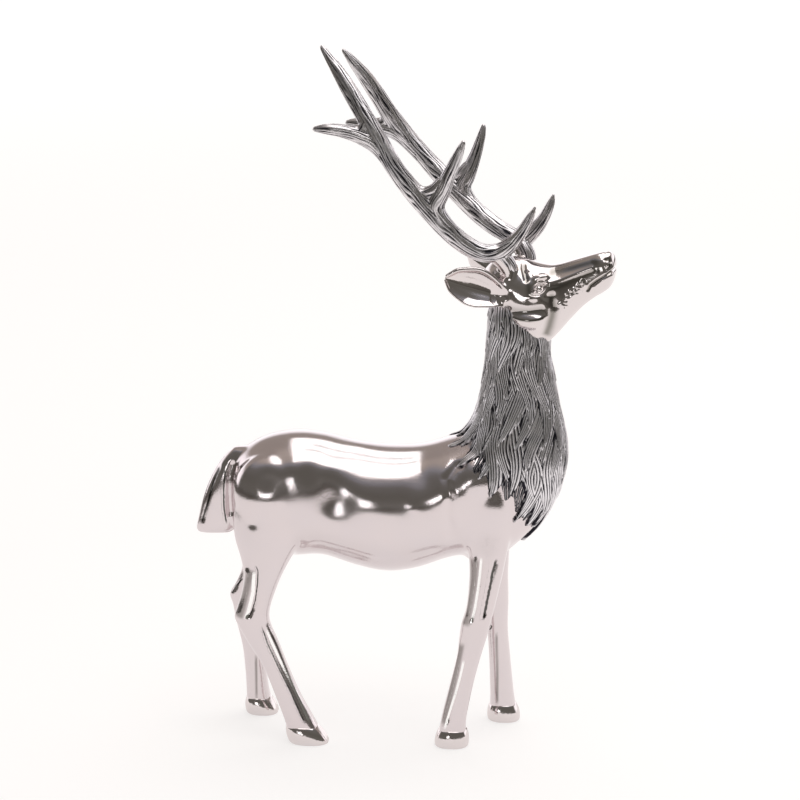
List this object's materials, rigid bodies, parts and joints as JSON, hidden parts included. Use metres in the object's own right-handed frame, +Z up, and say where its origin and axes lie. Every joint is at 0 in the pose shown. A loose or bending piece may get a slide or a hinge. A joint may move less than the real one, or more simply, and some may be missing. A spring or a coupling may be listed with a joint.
{
  "type": "stag statue",
  "caption": "Standing cast stag with a smooth body, a carved mane and swept-back branching antlers, resting on the flat soles of its hooves.",
  "frame": {"origin": "on the ground plane under the middle of the statue's outline", "axes": "+Z up, +X the way the stag faces, +Y its left side"},
  "size_m": [0.331, 0.1206, 0.5555],
  "materials": {
    "polished_aluminium": "polished cast aluminium, darkened in the carving of the mane and antlers"
  },
  "bodies": {
    "root": {"stag": "polished_aluminium"}
  },
  "joints": []
}
